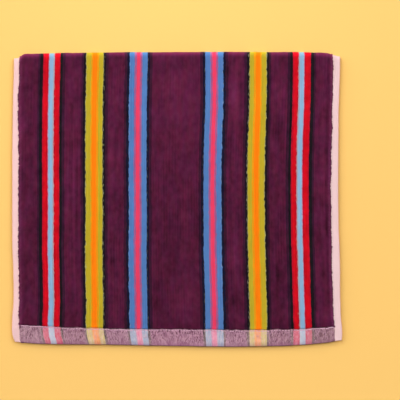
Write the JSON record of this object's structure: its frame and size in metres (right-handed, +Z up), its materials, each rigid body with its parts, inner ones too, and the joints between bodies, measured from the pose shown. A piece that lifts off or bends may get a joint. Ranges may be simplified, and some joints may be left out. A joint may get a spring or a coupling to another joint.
{
  "type": "folded hand towel",
  "caption": "Striped velour hand towel folded once in half and lying flat, with flat woven selvedges and sewn end hems.",
  "frame": {"origin": "centre of the towel's outline, on the surface it lies on", "axes": "+X across the cloth towards its right selvedge, +Y along the cloth from the open hems to the fold, +Z up"},
  "size_m": [0.5069, 0.4534, 0.0124],
  "materials": {
    "pile": "sheared cotton velour, purple with lengthwise stripes"
  },
  "bodies": {
    "root": {"towel": "pile"}
  },
  "joints": []
}
